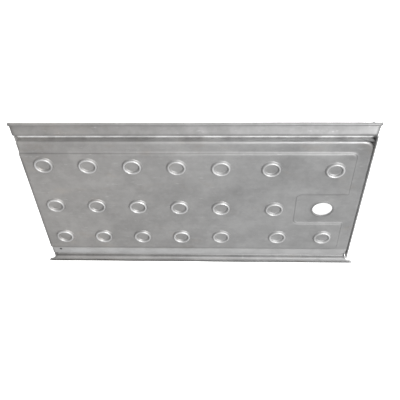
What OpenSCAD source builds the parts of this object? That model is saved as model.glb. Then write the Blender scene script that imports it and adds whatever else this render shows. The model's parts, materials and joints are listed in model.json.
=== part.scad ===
// Short steel scaffold plank: a dimpled deck plate between two gutter-shaped side rails,
// with ribs across its underside, a cap at each end, and rivets and welds that hold them.
// X runs along the plank, Y across it, and Z up from the face that it rests on.

/* [Overall] */
// Length of the deck plate
plate_l = 396; // [300:1:520]
// Width over the two rolled rail edges
plank_w = 250; // [220:1:330]
// Depth of the deck plate's skirts, from the border's top to the underside
skirt_d = 27; // [22:0.5:45]
// Thickness of the deck plate's sheet
deck_t = 2; // [1.2:0.1:3]
// Outside radius of the long bends
bend_r = 3; // [2.5:0.1:3]

/* [Raised panel] */
// Height of the panel above the border
panel_rise = 2; // [1:0.1:2.8]
// Corner radius of the flat top at the right end
plate_corner = 8; // [4:0.5:12]
// Width of the border along each long side
border_w = 16; // [10:0.5:24]
// Width of the border at the right end
border_end = 15.5; // [8:0.5:24]
// Corner radius of the panel
panel_corner = 7; // [4:0.5:12]

/* [Dimples] */
// Outside diameter of a dimple
dimple_d = 22; // [16:0.5:26]
// Height of a dimple's ring above the panel
dimple_h = 3.2; // [2:0.1:4.5]
// Width of a dimple's ring at its foot
ring_w = 3.4; // [2.5:0.1:6]
// Height of a dimple's dished middle above the panel
dish_h = 0.2; // [0:0.1:1.5]
// Distance from the left end to the first column
first_column = 24.6; // [16:0.1:36]
// Pitch of the five columns at the left
close_pitch = 51; // [38:0.5:60]
// Pitch of the two columns at the right
wide_pitch = 65; // [42:0.5:80]
// Lean of the sixth column, for each row
column_lean = 7.5; // [0:0.5:10]
// Distance of the first row from the middle
row_near = 65; // [50:0.5:72]
// Distance of the middle row from the middle, on the far side
row_middle = 3.5; // [0:0.5:8]
// Distance of the last row from the middle
row_far = 60; // [48:0.5:72]
// Drop of the first row over each millimetre of length
row_drift = 0.022; // [0:0.001:0.03]

/* [Tie hole] */
// Diameter of the tie hole
tie_d = 24.6; // [16:0.1:32]
// Height of the lip round the tie hole
tie_lip_h = 1.4; // [0.5:0.1:3]
// Width of the lip round the tie hole
tie_lip_w = 1.4; // [1:0.1:3]
// Distance of the tie hole from the right end
tie_inset = 43.4; // [30:0.1:60]
// Distance of the tie hole from the middle, on the far side
tie_off = 7.5; // [0:0.5:20]
// Width of the lowered bay round the tie hole
bay_w = 53; // [40:0.5:60]
// Distance from the tie hole to the bay's left side
bay_reach = 33.5; // [22:0.5:40]

/* [Side rails] */
// Thickness of the rails' sheet
rail_t = 1.5; // [1:0.1:2]
// Width of the open gutter beside the deck plate
gutter_w = 7.6; // [6:0.1:16]
// Depth of the gutter
gutter_d = 6; // [6:0.5:14]
// Width of the sloping ledge, from the gutter to the outside
ledge_w = 15.4; // [11:0.1:20]
// Slope of the ledge, in degrees
ledge_slope = 33; // [10:1:40]
// Outside diameter of the rolled edge
roll_d = 4.2; // [3.8:0.1:6]
// Turn of the rolled edge, in degrees
roll_turn = 230; // [180:5:250]
// Run of the near rail's slanted ends past the deck plate
near_past = 5; // [0:0.5:20]
// Run of the far rail's slanted ends past the deck plate
far_past = 13; // [0:0.5:20]

/* [Ends and ribs] */
// Thickness of the end caps and the ribs
cap_t = 1.5; // [1:0.1:2.5]
// Gap between the deck plate's right end and its cap
cap_gap = 1; // [0.5:0.1:3]
// Distance of the right cap's and the gutter stops' tops below the border's top
cap_drop = 0.6; // [0.4:0.1:4]
// Setback of the left cap under the deck plate's end
left_cap_back = 2.5; // [1:0.5:8]
// Width of the flange along the foot of each cap
cap_flange = 20; // [10:1:30]
// Width of the return flange under each skirt
return_w = 16; // [12:0.5:24]
// Width of a rib
rib_w = 22; // [16:0.5:24]
// Clearance where one sheet sits inside another
sheet_clear = 0.5; // [0.2:0.1:1]
// Leg of the weld beads, which is the radius that they are drawn with
weld_r = 1.6; // [1:0.1:2.5]
// Height of the weld beads
weld_h = 12; // [4:0.5:16]

/* [Rivets] */
// Diameter of a rivet's shank
rivet_d = 3.2; // [2:0.1:4]
// Diameter of a rivet's head
rivet_head_d = 5.2; // [4:0.1:6]
// Height of a rivet's head
rivet_head_h = 1.4; // [0.8:0.1:2]
// Clearance round a rivet's shank
rivet_clear = 0.1; // [0.05:0.05:0.2]
// Number of rivets along each rail
rail_rivet_n = 5; // [3:1:8]
// Distance of the end rivets from the deck plate's ends
rail_rivet_end = 30; // [20:1:60]

/* [Hidden] */
$fn = 48;
bend_steps = 6;
over = 1;

// Levels
border_z = skirt_d;
panel_z = border_z + panel_rise;
floor_z = border_z - gutter_d;

// Widths, measured from the middle
web_y = plank_w / 2 - ledge_w;
skirt_y = web_y - gutter_w;
skirt_in = skirt_y - deck_t;
return_y = skirt_y - return_w;
panel_y = skirt_y - border_w;
panel_x = plate_l / 2 - border_end;
riser_w = deck_t;

// Tie hole and its bay
tie_x = plate_l / 2 - tie_inset;
tie_y = -tie_off;
bay_x = tie_x - bay_reach;

// Dimples
columns = 7;
rows = 3;
row_y = [row_near, -row_middle, -row_far];
dimple_r = dimple_d / 2;

// Ribs stand between the first, third and fifth columns and the ones after them
rib_x = [for (c = [0, 2, 4]) (column_x(c) + column_x(c + 1)) / 2];
rib_top = panel_z - deck_t;
rib_half = panel_y - riser_w - sheet_clear;
foot_end = skirt_in - rivet_head_h - sheet_clear;
foot_y = (return_y + foot_end) / 2;

// Rivets through the rails' laps and the skirts, clear of the bends above and below
lap_top = floor_z - rail_t;
rail_rivet_z = (lap_top + deck_t) / 2;
rivet_r = rivet_d / 2;
rivet_hole_r = rivet_r + rivet_clear;
rail_rivet_x = [for (i = [0:rail_rivet_n - 1])
    (plate_l / 2 - rail_rivet_end) * (2 * i / (rail_rivet_n - 1) - 1)];

// Caps
cap_rivet_in = cap_flange * 0.6;
right_cap_in = plate_l / 2 + cap_gap;
right_cap_out = right_cap_in + cap_t;
left_cap_out = -plate_l / 2 + left_cap_back;
left_cap_in = left_cap_out + cap_t;
cap_rivet_x = [left_cap_out + cap_rivet_in, right_cap_out - cap_rivet_in];

function column_x(c) = -plate_l / 2 + first_column
    + close_pitch * min(c, 4) + wide_pitch * max(c - 4, 0);
function lean(c, r) = c == 5 ? column_lean * (r - 1) : 0;
function dimple_at(c, r) = let (x = column_x(c) + lean(c, r))
    [x, row_y[r] - row_drift * x * (r < 2 ? 1 : 0)];

// Points of an arc in the plane, from one angle to another
function arc(centre, r, from, to, steps = bend_steps) =
    [for (i = [0:steps]) let (a = from + (to - from) * i / steps)
        centre + r * [cos(a), sin(a)]];

// Outline of a bent sheet, from the line along its middle
function unit(v) = v / norm(v);
function side_of(path, i) = let (
        back = i > 0 ? unit(path[i] - path[i - 1]) : unit(path[1] - path[0]),
        ahead = i < len(path) - 1 ? unit(path[i + 1] - path[i]) : back,
        mean = unit(back + ahead))
    [-mean.y, mean.x] / (mean * ahead);
function sheet_outline(path, t) = concat(
    [for (i = [0:len(path) - 1]) path[i] + side_of(path, i) * t / 2],
    [for (i = [len(path) - 1:-1:0]) path[i] - side_of(path, i) * t / 2]);

// Half of the deck plate's section: return flange, skirt and border
deck_bend = bend_r - deck_t / 2;
half_deck = concat(
    [[return_y, deck_t / 2]],
    arc([skirt_y - bend_r, bend_r], deck_bend, 270, 360),
    arc([skirt_y - bend_r, border_z - bend_r], deck_bend, 0, 90));
deck_path = concat(half_deck, [for (i = [len(half_deck) - 1:-1:0])
    [-half_deck[i].x, half_deck[i].y]]);

// Section of a side rail: lap, gutter, ledge and rolled edge
rail_bend = bend_r - rail_t / 2;
lap_y = skirt_y + rail_t / 2;
gutter_mid_z = floor_z - rail_t / 2;
web_mid_y = web_y + rail_t / 2;
ledge_normal = [sin(ledge_slope), cos(ledge_slope)];
ledge_centre = [web_mid_y + rail_bend, border_z - bend_r];
ledge_start = ledge_centre + rail_bend * ledge_normal;
roll_r = (roll_d - rail_t) / 2;
roll_y = plank_w / 2 - roll_d / 2;
ledge_run = (roll_y - roll_r * ledge_normal.x - ledge_start.x) / cos(ledge_slope);
roll_centre = ledge_start + ledge_run * [cos(ledge_slope), -sin(ledge_slope)]
    + roll_r * ledge_normal;
rail_path = concat(
    [[lap_y, 0]],
    arc([lap_y + rail_bend, gutter_mid_z - rail_bend], rail_bend, 180, 90),
    arc([web_mid_y - rail_bend, gutter_mid_z + rail_bend], rail_bend, 270, 360),
    arc(ledge_centre, rail_bend, 180, 90 - ledge_slope),
    arc(roll_centre, roll_r, 270 - ledge_slope, 270 - ledge_slope + roll_turn, 14));

// A section drawn in Y and Z, run along X
module along_x(length) {
    rotate([90, 0, 90]) linear_extrude(length, center = true) children();
}

// A box from its lowest corner to its highest
module block(low, high) {
    translate(low) cube(high - low);
}

// A flat rectangle with round corners, from its lowest corner to its highest
module round_rectangle(low, high, r) {
    size = high - low;
    translate(low + [r, 0]) square([size.x - 2 * r, size.y]);
    translate(low + [0, r]) square([size.x, size.y - 2 * r]);
    for (x = [low.x + r, high.x - r], y = [low.y + r, high.y - r])
        translate([x, y]) circle(r);
}

// The panel's outline, drawn in on every edge but the left one
module panel_outline(draw_in) {
    left = -plate_l / 2;
    r = panel_corner;
    difference() {
        union() {
            round_rectangle([left, -panel_y + draw_in], [panel_x - draw_in, panel_y - draw_in],
                r - draw_in);
            translate([left, -panel_y + draw_in]) square([r, 2 * (panel_y - draw_in)]);
        }
        round_rectangle([bay_x - draw_in, tie_y - bay_w / 2 - draw_in],
            [panel_x + 2 * r, tie_y + bay_w / 2 + draw_in], r);
    }
}

// A pressed dimple: a round ring with a dished middle
module dimple() {
    top_out = dimple_r - ring_w * 0.35;
    top_in = dimple_r - ring_w * 0.6;
    dish_r = dimple_r - ring_w;
    rotate_extrude()
        polygon([
            [0, dish_h], [dish_r, dish_h], [top_in, dimple_h], [top_out, dimple_h],
            [dimple_r, 0], [dimple_r, -deck_t], [top_out, dimple_h - deck_t],
            [top_in, dimple_h - deck_t], [dish_r, dish_h - deck_t], [0, dish_h - deck_t]
        ]);
}

module each_dimple() {
    for (c = [0:columns - 1], r = [0:rows - 1])
        if (!(c == columns - 1 && r == 1))
            translate(concat(dimple_at(c, r), panel_z)) children();
}

module rivet_holes_in_skirts() {
    for (x = rail_rivet_x)
        translate([x, 0, rail_rivet_z]) rotate([90, 0, 0])
            cylinder(r = rivet_hole_r, h = plank_w, center = true);
}

// Places of the rivets through the return flanges, two at each station along X
module at_foot_rivets(stations) {
    for (x = stations, side = [-1, 1])
        translate([x, side * foot_y, 0]) children();
}

module foot_rivet_holes(stations) {
    at_foot_rivets(stations) translate([0, 0, -over])
        cylinder(r = rivet_hole_r, h = deck_t + cap_t + 2 * over);
}

module foot_rivets(stations) {
    grip = deck_t + cap_t;
    at_foot_rivets(stations) {
        cylinder(r = rivet_r, h = grip);
        translate([0, 0, grip]) rivet_head();
    }
}

// A domed head, standing on Z = 0
module rivet_head() {
    dome_r = (pow(rivet_head_d / 2, 2) + pow(rivet_head_h, 2)) / (2 * rivet_head_h);
    intersection() {
        translate([0, 0, rivet_head_h - dome_r]) sphere(dome_r);
        cylinder(d = rivet_head_d, h = rivet_head_h);
    }
}

module deck_plate() {
    corner = bend_r + plate_corner;
    color([0.66, 0.66, 0.65]) difference() {
        union() {
            difference() {
                along_x(plate_l) polygon(sheet_outline(deck_path, deck_t));
                translate([0, 0, border_z - deck_t - over])
                    linear_extrude(deck_t + 2 * over) panel_outline(riser_w);
            }
            translate([0, 0, border_z - deck_t])
                linear_extrude(deck_t + panel_rise) difference() {
                    panel_outline(0);
                    panel_outline(riser_w);
                }
            difference() {
                translate([0, 0, panel_z - deck_t]) linear_extrude(deck_t) panel_outline(0);
                each_dimple() cylinder(r = dimple_r - over / 10, h = 3 * deck_t, center = true);
            }
            each_dimple() dimple();
            translate([tie_x, tie_y, border_z - deck_t])
                cylinder(d = tie_d + 2 * tie_lip_w, h = deck_t + tie_lip_h);
        }
        translate([tie_x, tie_y, border_z - deck_t - over])
            cylinder(d = tie_d, h = deck_t + tie_lip_h + 2 * over);
        // The top's corners are round at the right end, and the skirts run on below them
        for (side = [0, 1])
            mirror([0, side, 0])
                translate([plate_l / 2 - corner, skirt_y - corner, border_z - bend_r])
                    linear_extrude(bend_r + over) difference() {
                        square(corner + over);
                        circle(corner);
                    }
        rivet_holes_in_skirts();
        foot_rivet_holes(concat(rib_x, cap_rivet_x));
    }
}

// A rail on the near side. Its ends are flush with the deck plate at the gutter,
// and slant out past it to the rolled edge.
module side_rail(past) {
    end = plate_l / 2;
    edge = plank_w / 2 + over;
    slant = past * (edge - web_y) / ledge_w;
    difference() {
        intersection() {
            along_x(plate_l + 2 * past + 2 * over) polygon(sheet_outline(rail_path, rail_t));
            translate([0, 0, -over]) linear_extrude(border_z + 2 * over)
                polygon([
                    [-end, skirt_y], [end, skirt_y], [end, web_y],
                    [end + slant, edge], [-end - slant, edge], [-end, web_y]
                ]);
        }
        rivet_holes_in_skirts();
    }
}

module near_rail() {
    color([0.70, 0.70, 0.69]) side_rail(near_past);
}

module far_rail() {
    color([0.62, 0.63, 0.63]) mirror([0, 1, 0]) side_rail(far_past);
}

// A cap's flange, which lies on the return flanges and is riveted to them
module cap_foot(from_x, to_x) {
    difference() {
        block([from_x, -foot_end, deck_t], [to_x, foot_end, deck_t + cap_t]);
        foot_rivet_holes(cap_rivet_x);
    }
}

// Closes the underside below the deck plate's left end
module left_end_cap() {
    half = skirt_in - sheet_clear;
    color([0.45, 0.45, 0.45]) {
        block([left_cap_out, -half, deck_t], [left_cap_in, half, border_z - deck_t - sheet_clear]);
        cap_foot(left_cap_out, left_cap_out + cap_flange);
    }
}

// Stands just outside the deck plate's right end, and closes the gutters there too
module right_end_cap() {
    half = web_y - sheet_clear;
    color([0.62, 0.62, 0.61]) {
        block([right_cap_in, -half, 0], [right_cap_out, half, border_z - cap_drop]);
        cap_foot(right_cap_out - cap_flange, right_cap_out);
    }
}

// Plates that stand on the gutters' floors and close them at the left end
module left_gutter_stops() {
    from_y = skirt_y + sheet_clear;
    to_y = web_y - sheet_clear;
    corner = bend_r - rail_t;
    top = border_z - cap_drop;
    color([0.45, 0.45, 0.45]) for (side = [0, 1])
        mirror([0, side, 0]) translate([-plate_l / 2, 0, 0]) rotate([90, 0, 90])
            linear_extrude(cap_t) polygon([
                [from_y, floor_z], [to_y - corner, floor_z], [to_y, floor_z + corner],
                [to_y, top], [from_y, top]
            ]);
}

// A channel across the underside, open downwards, with a foot at each end
module rib(x) {
    difference() {
        translate([x, 0, 0]) {
            block([-rib_w / 2, -rib_half, rib_top - cap_t], [rib_w / 2, rib_half, rib_top]);
            for (side = [-1, 1])
                translate([side * (rib_w - cap_t) / 2, 0, 0])
                    block([-cap_t / 2, -rib_half, deck_t], [cap_t / 2, rib_half, rib_top]);
            for (side = [0, 1])
                mirror([0, side, 0])
                    block([-rib_w / 2, rib_half - cap_flange / 2, deck_t],
                        [rib_w / 2, foot_end, deck_t + cap_t]);
        }
        foot_rivet_holes(rib_x);
    }
}

module left_rib() { color([0.50, 0.50, 0.50]) rib(rib_x[0]); }
module middle_rib() { color([0.50, 0.50, 0.50]) rib(rib_x[1]); }
module right_rib() { color([0.50, 0.50, 0.50]) rib(rib_x[2]); }

// Rivets along the near rail, with a head on each side of the two sheets
module rail_rivets() {
    grip = deck_t + rail_t;
    for (x = rail_rivet_x)
        translate([x, skirt_in, rail_rivet_z]) rotate([-90, 0, 0]) {
            cylinder(r = rivet_r, h = grip);
            translate([0, 0, grip]) rivet_head();
            mirror([0, 0, 1]) rivet_head();
        }
}

module near_rail_rivets() {
    color([0.75, 0.75, 0.74]) rail_rivets();
}

module far_rail_rivets() {
    color([0.75, 0.75, 0.74]) mirror([0, 1, 0]) rail_rivets();
}

// Rivets through the ribs' feet, flush with the underside
module rib_rivets() {
    color([0.75, 0.75, 0.74]) foot_rivets(rib_x);
}

// Rivets through the caps' flanges, flush with the underside
module cap_rivets() {
    color([0.75, 0.75, 0.74]) foot_rivets(cap_rivet_x);
}

// A bead in the corner between the left cap and each skirt
module left_cap_welds() {
    color([0.55, 0.55, 0.55]) for (side = [0, 1])
        mirror([0, side, 0]) translate([left_cap_in, skirt_in, border_z / 2 - weld_h / 2])
            intersection() {
                cylinder(r = weld_r, h = weld_h);
                translate([0, -weld_r, 0]) cube([weld_r, weld_r, weld_h]);
            }
}

// A bead across the gap between each skirt's end and the right cap
module right_cap_welds() {
    middle_x = plate_l / 2 + cap_gap / 2;
    color([0.55, 0.55, 0.55]) for (side = [0, 1])
        mirror([0, side, 0]) translate([middle_x, skirt_y - weld_r, border_z / 2 - weld_h / 2])
            intersection() {
                cylinder(r = weld_r, h = weld_h);
                translate([-cap_gap / 2, -weld_r, 0]) cube([cap_gap, 2 * weld_r, weld_h]);
            }
}

deck_plate();
near_rail();
far_rail();
left_end_cap();
right_end_cap();
left_gutter_stops();
left_rib();
middle_rib();
right_rib();
near_rail_rivets();
far_rail_rivets();
rib_rivets();
cap_rivets();
left_cap_welds();
right_cap_welds();
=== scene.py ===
"""A short galvanised scaffold plank on a pale light table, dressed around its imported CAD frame."""

import json
import math

import bmesh
import bpy
from mathutils import Matrix, Vector, noise


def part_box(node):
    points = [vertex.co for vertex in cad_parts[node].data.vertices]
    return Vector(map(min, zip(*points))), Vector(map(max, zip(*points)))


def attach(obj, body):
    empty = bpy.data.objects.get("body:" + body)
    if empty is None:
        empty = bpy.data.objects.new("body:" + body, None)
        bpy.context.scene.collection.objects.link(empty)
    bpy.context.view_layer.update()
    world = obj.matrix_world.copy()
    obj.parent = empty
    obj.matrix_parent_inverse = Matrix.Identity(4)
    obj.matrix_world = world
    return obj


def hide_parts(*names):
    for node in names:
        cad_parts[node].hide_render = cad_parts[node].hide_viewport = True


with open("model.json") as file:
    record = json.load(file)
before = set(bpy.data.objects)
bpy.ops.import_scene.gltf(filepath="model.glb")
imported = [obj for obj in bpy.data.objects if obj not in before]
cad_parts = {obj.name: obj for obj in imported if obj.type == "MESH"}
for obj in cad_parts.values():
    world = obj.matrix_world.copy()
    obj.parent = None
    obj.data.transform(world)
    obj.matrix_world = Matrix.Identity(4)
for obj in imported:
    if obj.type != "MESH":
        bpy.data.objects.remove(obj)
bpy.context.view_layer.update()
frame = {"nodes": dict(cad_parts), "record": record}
record = frame["record"]
mounts = {mount["name"]: mount for mount in record["mounts"]}
MM = 0.001

# ---------------------------------------------------------------- sizes, from the frame
_, plate_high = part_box("deck_plate")
_, near_rail_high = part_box("near_rail")
_, far_rail_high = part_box("far_rail")

border_z = near_rail_high.z
panel_z = mounts["deck_top"]["pos_m"][2]
ring_top_z = plate_high.z
plate_end = plate_high.x
skirt_y = plate_high.y
plank_y = near_rail_high.y

deck_sheet = 2.0 * MM
bend_r = 3.0 * MM
panel_y = skirt_y - 16.0 * MM
panel_end = plate_end - 15.5 * MM
panel_corner = 7.0 * MM
step_run = 3.6 * MM
return_w = 16.0 * MM
corner_r = 8.0 * MM

tie_x, tie_y, _ = mounts["tie_hole"]["pos_m"]
tie_r = mounts["tie_hole"]["dims"]["r_mm"] * MM
tie_lip_w = 1.4 * MM
tie_lip_h = 1.4 * MM
swell_h = 0.6 * MM
bay_left = tie_x - 33.5 * MM
bay_half = 26.5 * MM

dimple_r = 11.0 * MM
dimple_h = ring_top_z - panel_z
dish_h = 0.2 * MM
ring_w = 3.4 * MM
crest_r = dimple_r - 1.5 * MM
first_column = -plate_end + 24.6 * MM
close_pitch = 51.0 * MM
wide_pitch = 65.0 * MM
column_lean = 7.5 * MM
row_places = (65.0 * MM, -3.5 * MM, -60.0 * MM)
row_drift = 0.022
columns = 7

rail_sheet = 1.5 * MM
gutter_w = 7.6 * MM
gutter_d = 6.0 * MM
ledge_slope = math.radians(33)
roll_d = 4.2 * MM
roll_turn = math.radians(230)


# Squares of the plate's grid that are turned into circles: how far that reaches, and how
# far it is whole. The hole starts as a square of cells that are cut away.
dimple_reach = 18.0 * MM
dimple_core = 12.5 * MM
tie_reach = 24.0 * MM
tie_core = 15.0 * MM
tie_square = 12.0 * MM
cell = 3.0 * MM
bend_steps = 5
touch = 0.05 * MM


def dimple_places():
    """Middle of each dimple. The rows drift along the plate, and the sixth column leans."""
    places = []
    for column in range(columns):
        x = first_column + close_pitch * min(column, 4) + wide_pitch * max(column - 4, 0)
        for row, y in enumerate(row_places):
            if column == columns - 1 and row == 1:
                continue
            lean = column_lean * (row - 1) if column == 5 else 0.0
            drift = row_drift * (x + lean) if row < 2 else 0.0
            places.append(Vector((x + lean, y - drift)))
    return places


dimples = dimple_places()
tie = Vector((tie_x, tie_y))


def smooth_step(low, high, value):
    share = min(max((value - low) / (high - low), 0.0), 1.0)
    return share * share * (3 - 2 * share)


# ---------------------------------------------------------------- mesh helpers
def finish_piece(name, bm, material):
    """Turns a bmesh into a piece of the plank that rides on the one body."""
    bmesh.ops.remove_doubles(bm, verts=bm.verts, dist=1e-6)
    mesh = bpy.data.meshes.new(name)
    for face in bm.faces:
        face.smooth = True
    bm.to_mesh(mesh)
    bm.free()
    mesh.materials.append(material)
    piece = bpy.data.objects.new(name, mesh)
    bpy.context.scene.collection.objects.link(piece)
    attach(piece, "root")
    return piece


def give_thickness(piece, thickness, offset):
    """A sheet's thickness, to one side of the surface that was modelled."""
    sheet = piece.modifiers.new("sheet", "SOLIDIFY")
    sheet.thickness = thickness
    sheet.offset = offset
    sheet.use_even_offset = True


def waviness(x, y, size, amount):
    """A smooth random rise and fall over the sheet."""
    return amount * noise.noise(Vector((x / size, y / size, 3.7)))


# ---------------------------------------------------------------- deck plate
def panel_distance(x, y):
    """Distance outside the raised panel's outline, below zero inside it."""
    half_y = panel_y - panel_corner
    beyond_x = x - (panel_end - panel_corner)
    beyond_y = abs(y) - half_y
    if beyond_x > 0 and beyond_y > 0:
        outline = math.hypot(beyond_x, beyond_y) - panel_corner
    else:
        outline = max(beyond_x, beyond_y) - panel_corner
    inset_x = (bay_left + panel_corner) - x
    inset_y = abs(y - tie_y) - (bay_half - panel_corner)
    if inset_x > 0 and inset_y > 0:
        bay = panel_corner - math.hypot(inset_x, inset_y)
    else:
        bay = panel_corner - max(inset_x, inset_y)
    return max(outline, bay)


def dimple_rise(distance):
    """Height of a dimple over the panel, at a distance from its middle."""
    if distance > crest_r:
        return dimple_h * (1 - smooth_step(crest_r + 0.4 * MM, dimple_r + 0.7 * MM, distance))
    inner = smooth_step(dimple_r - ring_w - 0.3 * MM, crest_r - 0.4 * MM, distance)
    return dish_h + (dimple_h - dish_h) * inner


def gathered(square):
    """Radius of a circle made from a square: closest together where a dimple's ring is."""
    ring_inside, ring_outside = (6.0, 7.6), (12.0, 11.8)
    places = ((0.0, 0.0), ring_inside, ring_outside, (dimple_reach / MM,) * 2)
    for (start, low), (end, high) in zip(places, places[1:]):
        if square <= end * MM:
            return (low + (square / MM - start) / (end - start) * (high - low)) * MM
    return square


def lip_rise(distance):
    """Height of the lip round the tie hole, and of the soft swelling that it stands on."""
    lip = 1 - smooth_step(tie_r + 0.4 * MM, tie_r + tie_lip_w + 1.0 * MM, distance)
    swelling = 1 - smooth_step(tie_r + 1.0 * MM, tie_r + 10.0 * MM, distance)
    return (tie_lip_h - swell_h) * lip + swell_h * swelling


def plate_height(x, y):
    """Height of the plate's top over its border."""
    rise = (panel_z - border_z) * (1 - smooth_step(-step_run / 2, step_run / 2, panel_distance(x, y)))
    here = Vector((x, y))
    for middle in dimples:
        distance = (here - middle).length
        if distance < dimple_r + 2 * MM:
            rise += dimple_rise(distance)
    distance = (here - tie).length
    if distance < tie_r + 11 * MM:
        rise += lip_rise(distance)
    return rise


def grid_anchor(place, low):
    """The grid's corner nearest to a place."""
    return Vector(round((p - l) / cell) * cell + l for p, l in zip(place, low))


def rounded_about(point, anchor, middle, reach, core, radius_of):
    """Turns the grid's squares about an anchor into circles about a middle."""
    away = point - anchor
    square = max(abs(away.x), abs(away.y))
    if square >= reach:
        return point
    share = 1 - smooth_step(core, reach, square)
    if away.length == 0:
        round_place = middle.copy()
    else:
        round_place = middle + away * (radius_of(square) / away.length)
    return point.lerp(round_place, share)


def near_any(place, anchors, reach):
    return any(max(abs(place.x - a.x), abs(place.y - a.y)) < reach for a in anchors)


def refine(bm, wanted):
    """Halves the cells whose middles are wanted."""
    faces = [f for f in bm.faces if wanted(f.calc_center_median())]
    edges = list({e for f in faces for e in f.edges})
    bmesh.ops.subdivide_edges(bm, edges=edges, cuts=1, use_grid_fill=True)


def extrude_edges(bm, edges, move):
    """Extrudes a run of edges once and moves each new corner by a rule."""
    made = bmesh.ops.extrude_edge_only(bm, edges=edges)["geom"]
    corners = [g for g in made if isinstance(g, bmesh.types.BMVert)]
    for corner in corners:
        corner.co += move(corner)
    made_edges = [g for g in made if isinstance(g, bmesh.types.BMEdge)]
    kept = set(corners)
    return [e for e in made_edges if e.verts[0] in kept and e.verts[1] in kept]


def edge_outward(co):
    """Level direction away from the flat of the plate, square to its rim."""
    inner_x = plate_end - bend_r - corner_r
    inner_y = skirt_y - bend_r - corner_r
    dx = max(co.x - inner_x, 0.0)
    dy = max(abs(co.y) - inner_y, 0.0)
    across = math.copysign(1.0, co.y)
    if dx > touch and dy > touch:
        return Vector((dx, dy * across, 0)).normalized()
    if dx > corner_r - touch:
        return Vector((1, 0, 0))
    return Vector((0, across, 0))


def build_deck_plate(material):
    """One pressed sheet: raised panel, dimples, tie hole, round corners, skirts and returns."""
    flat_end = plate_end - bend_r
    flat_y = skirt_y - bend_r
    length = plate_end + flat_end
    steps_x = round(length / cell)
    steps_y = round(2 * flat_y / cell)
    low = Vector((-plate_end, -flat_y))
    bm = bmesh.new()
    bmesh.ops.create_grid(bm, x_segments=steps_x, y_segments=steps_y, size=0.5)
    bmesh.ops.scale(bm, vec=(length, 2 * flat_y, 1), verts=bm.verts)
    bmesh.ops.translate(bm, vec=((flat_end - plate_end) / 2, 0, 0), verts=bm.verts)

    anchors = [grid_anchor(place, low) for place in dimples]
    tie_anchor = grid_anchor(tie, low)
    refine(bm, lambda c: near_any(c, anchors, 15 * MM) or near_any(c, [tie_anchor], 18 * MM)
           or abs(panel_distance(c.x, c.y)) < 5 * MM)
    refine(bm, lambda c: near_any(c, anchors, 13.5 * MM) or near_any(c, [tie_anchor], 16.5 * MM))

    gone = [f for f in bm.faces if near_any(f.calc_center_median(), [tie_anchor], tie_square)]
    bmesh.ops.delete(bm, geom=gone, context="FACES")
    for corner in bm.verts:
        place = Vector(corner.co.xy)
        for anchor, middle in zip(anchors, dimples):
            place = rounded_about(place, anchor, middle, dimple_reach, dimple_core, gathered)
        place = rounded_about(place, tie_anchor, tie, tie_reach, tie_core,
                              lambda square: square * tie_r / tie_square)
        for side in (-1, 1):
            hub = Vector((flat_end - corner_r, side * (flat_y - corner_r)))
            away = place - hub
            if away.x > 0 and away.y * side > 0:
                square = max(away.x, abs(away.y))
                share = (square / corner_r) ** 2
                place = hub + away * (1 + share * (square / away.length - 1))
        rise = plate_height(place.x, place.y)
        sway = waviness(place.x, place.y, 0.07, 0.28 * MM) + waviness(place.x, place.y, 0.02, 0.06 * MM)
        sway *= smooth_step(0, 12 * MM, min(flat_y - abs(place.y), flat_end - place.x))
        corner.co = (place.x, place.y, border_z + rise + sway)

    rim = [e for e in bm.edges if e.is_boundary
           and (e.verts[0].co.xy - tie).length > 20 * MM
           and not all(abs(v.co.x + plate_end) < 0.01 * MM for v in e.verts)]
    for step in range(bend_steps):
        angle, last = (math.pi / 2 * (step + i) / bend_steps for i in (1, 0))
        out = bend_r * (math.sin(angle) - math.sin(last))
        down = bend_r * (math.cos(angle) - math.cos(last))
        rim = extrude_edges(bm, rim, lambda v: edge_outward(v.co) * out + Vector((0, 0, down)))

    long_rim = [e for e in rim if all(v.co.x < flat_end - corner_r - 1 * MM for v in e.verts)
                and all(abs(v.co.y) > skirt_y - 0.1 * MM for v in e.verts)]
    fall = border_z - 2 * bend_r
    for _ in range(3):
        long_rim = extrude_edges(bm, long_rim, lambda v: Vector((0, 0, -fall / 3)))
    for step in range(bend_steps):
        angle, last = (math.pi / 2 * (step + i) / bend_steps for i in (1, 0))
        inward = bend_r * (math.cos(angle) - math.cos(last))
        down = -bend_r * (math.sin(angle) - math.sin(last))
        long_rim = extrude_edges(
            bm, long_rim, lambda v: Vector((0, math.copysign(inward, -v.co.y), down)))
    extrude_edges(bm, long_rim,
                  lambda v: Vector((0, -math.copysign(return_w - bend_r, v.co.y), 0)))
    end_x = max(v.co.x for v in bm.verts if v.co.z < border_z - 2 * bend_r)
    end_edges = [e for e in bm.edges if e.is_boundary
                 and all(abs(v.co.x - end_x) < 0.01 * MM and v.co.z < border_z - bend_r + 0.1 * MM
                         for v in e.verts)]
    extrude_edges(bm, end_edges, lambda v: Vector((plate_end - end_x, 0, 0)))
    bmesh.ops.remove_doubles(bm, verts=bm.verts, dist=1e-6)
    bmesh.ops.recalc_face_normals(bm, faces=bm.faces)
    top = max(bm.faces, key=lambda f: f.calc_center_median().z)
    if top.normal.z < 0:
        bmesh.ops.reverse_faces(bm, faces=bm.faces)
    plate = finish_piece("deck_plate_sheet", bm, material)
    give_thickness(plate, deck_sheet, -1)
    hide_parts("deck_plate")
    return plate


# ---------------------------------------------------------------- side rails
def last_corner(made):
    return next(g for g in made if isinstance(g, bmesh.types.BMVert))


def straight(bm, end, move):
    """Runs a section straight on from its last corner."""
    corner = bmesh.ops.extrude_vert_indiv(bm, verts=[end])["verts"][0]
    corner.co += Vector((0, *move))
    return corner


def bend(bm, end, centre, angle, steps=8):
    """Bends a section about a centre, from its last corner."""
    made = bmesh.ops.spin(bm, geom=[end], cent=(end.co.x, *centre), axis=(1, 0, 0), dvec=(0, 0, 0),
                          angle=angle, steps=steps, use_duplicate=False)
    return last_corner(made["geom_last"])


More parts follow.
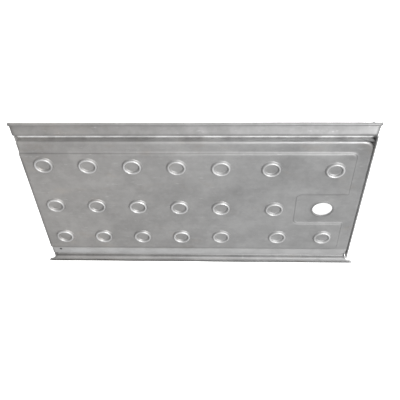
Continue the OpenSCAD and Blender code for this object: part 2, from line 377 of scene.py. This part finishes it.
def build_rail(name, side, past, material):
    """A folded rail beside the plate: lap, gutter, ledge and rolled edge, with slanted ends."""
    half = plate_end + past
    r = bend_r - rail_sheet / 2
    web_y = skirt_y + gutter_w + rail_sheet / 2
    lap_y = skirt_y + rail_sheet / 2
    floor_z = border_z - gutter_d - rail_sheet / 2
    along = Vector((math.cos(ledge_slope), -math.sin(ledge_slope)))
    normal = Vector((math.sin(ledge_slope), math.cos(ledge_slope)))
    roll_r = (roll_d - rail_sheet) / 2
    bm = bmesh.new()
    end = bmesh.ops.create_vert(bm, co=(-half, lap_y, 0))["vert"][0]
    end = straight(bm, end, (0, floor_z - r))
    end = bend(bm, end, (lap_y + r, floor_z - r), -math.pi / 2)
    end = straight(bm, end, (web_y - lap_y - 2 * r, 0))
    end = bend(bm, end, (web_y - r, floor_z + r), math.pi / 2)
    end = straight(bm, end, (0, border_z - bend_r - end.co.z))
    end = bend(bm, end, (web_y + r, border_z - bend_r), -math.pi / 2 - ledge_slope, 12)
    run = (plank_y - roll_d / 2 - roll_r * normal.x - end.co.y) / along.x
    for _ in range(4):
        end = straight(bm, end, along * run / 4)
    centre = end.co.yz + normal * roll_r
    bend(bm, end, centre, roll_turn, 18)

    steps = 90
    bmesh.ops.spin(bm, geom=bm.verts[:] + bm.edges[:], cent=(0, 0, 0), axis=(1, 0, 0), angle=0,
                   dvec=(2 * half / steps, 0, 0), steps=steps, use_duplicate=False)
    for corner in bm.verts:
        share = max(corner.co.y - skirt_y - gutter_w, 0) / (plank_y - skirt_y - gutter_w)
        corner.co.x *= (plate_end + past * share) / half
        out = smooth_step(web_y, plank_y, corner.co.y)
        x = corner.co.x + side * 0.3
        corner.co.z += out * (waviness(x, 0.2, 0.09, 0.55 * MM) + waviness(x, 0.9, 0.025, 0.12 * MM))
        corner.co.y -= out * abs(waviness(x, 0.6, 0.11, 0.4 * MM))
    if side < 0:
        bmesh.ops.scale(bm, vec=(1, -1, 1), verts=bm.verts)
    bmesh.ops.recalc_face_normals(bm, faces=bm.faces)
    rail = finish_piece(name + "_sheet", bm, material)
    give_thickness(rail, rail_sheet, 0)
    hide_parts(name)
    return rail


# ---------------------------------------------------------------- shader maths
class Signal:
    """A value in a material's node tree. Sums on it add Math nodes."""

    def __init__(self, tree, socket=None):
        self.tree = tree
        self.socket = socket

    def feed(self, socket, value):
        if isinstance(value, Signal):
            self.tree.links.new(value.socket, socket)
        else:
            socket.default_value = value

    def node(self, kind, settings=None, sockets=None, output=0):
        """Any node: its settings first, then the values or links of its sockets."""
        made = self.tree.nodes.new(kind)
        for name, value in (settings or {}).items():
            setattr(made, name, value)
        for name, value in (sockets or {}).items():
            self.feed(made.inputs[name], value)
        return Signal(self.tree, made.outputs[output])

    def math(self, operation, first, second):
        return self.node("ShaderNodeMath", {"operation": operation}, {0: first, 1: second})

    def __add__(self, other):
        return self.math("ADD", self, other)

    def __radd__(self, other):
        return self.math("ADD", other, self)

    def __sub__(self, other):
        return self.math("SUBTRACT", self, other)

    def __mul__(self, other):
        return self.math("MULTIPLY", self, other)

    def __rmul__(self, other):
        return self.math("MULTIPLY", other, self)

    def __pow__(self, other):
        return self.math("POWER", self, other)

    def between(self, low, high):
        """0 below low, 1 above high, and smooth between them."""
        return self.node("ShaderNodeMapRange", {"interpolation_type": "SMOOTHSTEP"},
                         {"Value": self, "From Min": low, "From Max": high})

    def tint(self, dark, light):
        """A colour between two, chosen by this value."""
        return self.node("ShaderNodeMix", {"data_type": "RGBA"}, {0: self, 6: dark, 7: light}, 2)

    def multiplied(self, colour, shade):
        """A colour darkened by a shade where this value is high."""
        return self.node("ShaderNodeMix", {"data_type": "RGBA", "blend_type": "MULTIPLY"},
                         {0: self, 6: colour, 7: shade}, 2)


def grey(level, warm=0.0):
    return (level * (1 + warm), level, level * (1 - warm), 1)


def noise_at(place, scale, detail=3.0, rough=0.55, stretch=(1, 1, 1), shift=0.0):
    """Noise over the sheet, stretched along an axis where a scale is small."""
    spot = place.node("ShaderNodeMapping", {}, {"Vector": place, "Scale": stretch,
                                                "Location": (shift, shift, shift)})
    return place.node("ShaderNodeTexNoise", {},
                      {"Vector": spot, "Scale": scale, "Detail": detail, "Roughness": rough})


def galvanised(name, dark, light, worn_and_painted_light_tone=None, metal=0.75, roughness=0.5, pitting=1.0,
               wear_and_painted_light_band=None, border=None):
    """Hot-dip zinc on steel: cloudy patches, faint crystals, drawn streaks, scuffs and pits.
    The wear and light band is an axis and the two distances along it where its tone begins and is full:
    rubbed wear with a painted highlight on the deck's dimple rings, painted light on the rails' gutter
    floors.
    Border is the far border's tone, and brings painted shade on the panel's step and one dark mark."""
    material = bpy.data.materials.new(name)
    material.use_nodes = True
    tree = material.node_tree
    shader = tree.nodes["Principled BSDF"]
    base = Signal(tree)
    place = base.node("ShaderNodeTexCoord", output=3)
    cloud = noise_at(place, 14, 4).between(0.36, 0.64)
    patch = noise_at(place, 45, 5, 0.6, shift=2.0).between(0.38, 0.66)
    streak = noise_at(place, 30, 4, 0.6, (0.25, 5.0, 1.0), 5.0).between(0.35, 0.7)
    grain = noise_at(place, 900, 2, 0.6, shift=1.0)
    crystal = place.node("ShaderNodeTexVoronoi", {"feature": "F1"},
                         {"Vector": place, "Scale": 210.0}, 1)
    crystal = crystal.node("ShaderNodeSeparateColor", {}, {"Color": crystal})
    scuff = noise_at(place, 130, 6, 0.7, (0.6, 2.2, 1.0), 8.0).between(0.6, 0.72)
    stain = noise_at(place, 22, 5, 0.65, (1.0, 2.0, 1.0), 11.0).between(0.56, 0.7)
    tone = 0.34 * cloud + 0.26 * patch + 0.08 * streak + 0.14 * crystal + 0.18 * grain
    colour = tone.tint(dark, light)
    along, across, height = (place.node("ShaderNodeSeparateXYZ", {}, {"Vector": place}, axis)
                             for axis in range(3))
    warm = 0.5 * along.between(0.12, -0.2) + 0.5 * stain
    colour = warm.multiplied(colour, (1.0, 0.955, 0.91, 1))
    pale = tuple(min(1.0, c * 1.35) for c in light[:3]) + (1,)
    colour = (0.35 * scuff).tint(colour, pale)
    # Rubbed wear and a painted highlight on the deck's rings; painted light on the rails' gutter
    # floors.
    if wear_and_painted_light_band:
        axis, start, full = wear_and_painted_light_band
        away = (along, across, height)[axis]
        rubbed_and_painted_light = away.math("ABSOLUTE", away, 0.0).between(start, full) * (0.6 + 0.4 * patch)
        colour = rubbed_and_painted_light.tint(colour, worn_and_painted_light_tone)
    if border:
        band = across.between(-panel_y - 1 * MM, -panel_y - 4 * MM) * (0.65 + 0.35 * patch)
        colour = band.tint(colour, border)
        # Painted shade on the step between border and panel.
        painted_step_shade = (height.between(border_z + 0.3 * MM, border_z + 0.9 * MM)
                * height.between(panel_z - 0.2 * MM, panel_z - 0.9 * MM))
        colour = painted_step_shade.multiplied(colour, grey(0.70))
        mark_x = -plate_end + 11.3 * MM
        mark_y = -panel_y - 5.7 * MM
        reach = ((along - mark_x) ** 2 + (across - mark_y) ** 2) ** 0.5
        colour = reach.between(2.2 * MM, 1.1 * MM).tint(colour, grey(0.05))
    base.feed(shader.inputs["Base Color"], colour)
    base.feed(shader.inputs["Roughness"], roughness + 0.12 * cloud - 0.1 * scuff + 0.06 * grain)
    shader.inputs["Metallic"].default_value = metal
    pits = 0.5 * grain + 0.35 * noise_at(place, 260, 4, 0.6, shift=4.0) + 0.15 * scuff
    bump = base.node("ShaderNodeBump", {}, {"Height": pits, "Strength": 0.35 * pitting,
                                            "Distance": 0.0005})
    base.feed(shader.inputs["Normal"], bump)
    return material


# ---------------------------------------------------------------- camera, light and floor
def add_camera():
    """Looks down over the near rail and is rolled over, so that the near rail is at the top."""
    azimuth = math.radians(3.09)
    elevation = math.radians(42.26)
    distance = 0.706
    roll = math.pi + math.radians(2.32)
    target = Vector((0.0049, 0.0077, border_z))
    toward = Vector((math.sin(azimuth) * math.cos(elevation),
                     math.cos(azimuth) * math.cos(elevation), math.sin(elevation)))
    level = (-toward).cross(Vector((0, 0, 1))).normalized()
    rise = level.cross(-toward)
    right = level * math.cos(roll) + rise * math.sin(roll)
    up = rise * math.cos(roll) - level * math.sin(roll)
    data = bpy.data.cameras.new("camera")
    data.sensor_width = 36.0
    data.lens = 52.15
    data.clip_start = 0.01
    camera = bpy.data.objects.new("camera", data)
    turn = Matrix((right, up, toward)).transposed().to_4x4()
    camera.matrix_world = Matrix.Translation(target + toward * distance) @ turn
    bpy.context.scene.collection.objects.link(camera)
    bpy.context.scene.camera = camera


def add_area(name, place, target, size, power):
    data = bpy.data.lights.new(name, "AREA")
    data.shape = "DISK"
    data.size = size
    data.energy = power
    lamp = bpy.data.objects.new(name, data)
    lamp.location = place
    lamp.rotation_euler = (Vector(target) - Vector(place)).to_track_quat("-Z", "Y").to_euler()
    bpy.context.scene.collection.objects.link(lamp)


def add_world(level):
    world = bpy.data.worlds.new("studio")
    world.use_nodes = True
    world.node_tree.nodes["Background"].inputs["Color"].default_value = (1, 1, 1, 1)
    world.node_tree.nodes["Background"].inputs["Strength"].default_value = level
    bpy.context.scene.world = world


def add_floor(glow):
    """A pale table that glows softly, so that it stays white under the plank."""
    material = bpy.data.materials.new("pale_table")
    material.use_nodes = True
    shader = material.node_tree.nodes["Principled BSDF"]
    shader.inputs["Base Color"].default_value = (0.9, 0.9, 0.9, 1)
    shader.inputs["Roughness"].default_value = 0.9
    shader.inputs["Emission Color"].default_value = (1, 1, 1, 1)
    shader.inputs["Emission Strength"].default_value = glow
    bm = bmesh.new()
    bmesh.ops.create_grid(bm, x_segments=1, y_segments=1, size=4.0)
    bmesh.ops.translate(bm, vec=(0, 0, -0.0005), verts=bm.verts)
    mesh = bpy.data.meshes.new("floor")
    bm.to_mesh(mesh)
    bm.free()
    mesh.materials.append(material)
    floor = bpy.data.objects.new("floor", mesh)
    bpy.context.scene.collection.objects.link(floor)


# ---------------------------------------------------------------- the plank
# Rings toned pale by height: rubbed wear and a painted highlight on their crests.
deck_finish = galvanised("deck_zinc", grey(0.25), grey(0.39), worn_and_painted_light_tone=grey(0.60), roughness=0.5,
                         wear_and_painted_light_band=(2, panel_z + 0.8 * MM, ring_top_z), border=grey(0.48))
# Painted light: the rails' gutter floors take a tone of their own, lighter than the ledges, most of all
# on the near rail.
painted_gutter_light_band = (1, skirt_y + gutter_w - 0.3 * MM, skirt_y + gutter_w - 1.2 * MM)
# One zinc in two tones: the near rail is toned darker as painted shade, the far rail lighter as painted
# light.
near_finish = galvanised("near_rail_zinc", grey(0.20), grey(0.34), worn_and_painted_light_tone=grey(0.85),
                         roughness=0.6, wear_and_painted_light_band=painted_gutter_light_band)
far_finish = galvanised("far_rail_zinc", grey(0.26), grey(0.44), worn_and_painted_light_tone=grey(0.40),
                        roughness=0.6, wear_and_painted_light_band=painted_gutter_light_band)
# The caps and gutter stops are toned a little lighter than the deck: painted light on the plank's ends.
cap_finish = galvanised("cap_zinc", grey(0.22), grey(0.42), roughness=0.55)
rib_finish = galvanised("rib_zinc", grey(0.20), grey(0.36), roughness=0.6)
rivet_finish = galvanised("rivet_zinc", grey(0.34), grey(0.6), roughness=0.35, pitting=0.5)
weld_finish = galvanised("weld_zinc", grey(0.16), grey(0.30), roughness=0.6, pitting=2.0)

finishes = {"deck_plate": deck_finish, "near_rail": near_finish, "far_rail": far_finish,
            "left_end_cap": cap_finish, "right_end_cap": cap_finish, "left_gutter_stops": cap_finish,
            "left_rib": rib_finish, "middle_rib": rib_finish, "right_rib": rib_finish,
            "near_rail_rivets": rivet_finish, "far_rail_rivets": rivet_finish,
            "rib_rivets": rivet_finish, "cap_rivets": rivet_finish,
            "left_cap_welds": weld_finish, "right_cap_welds": weld_finish}
for node_name, finish in finishes.items():
    node = frame["nodes"][node_name]
    node.data.materials.clear()
    node.data.materials.append(finish)

build_deck_plate(deck_finish)
build_rail("near_rail", 1, near_rail_high.x - plate_end, near_finish)
build_rail("far_rail", -1, far_rail_high.x - plate_end, far_finish)

add_camera()
add_area("key", (0.80, 0.80, 1.20), (0, 0, 0), 0.45, 34)
add_area("fill", (-0.30, -0.60, 0.9), (0, 0, 0), 0.6, 1.2)
add_world(0.55)
add_floor(0.9)
bpy.context.scene.view_settings.view_transform = "Standard"
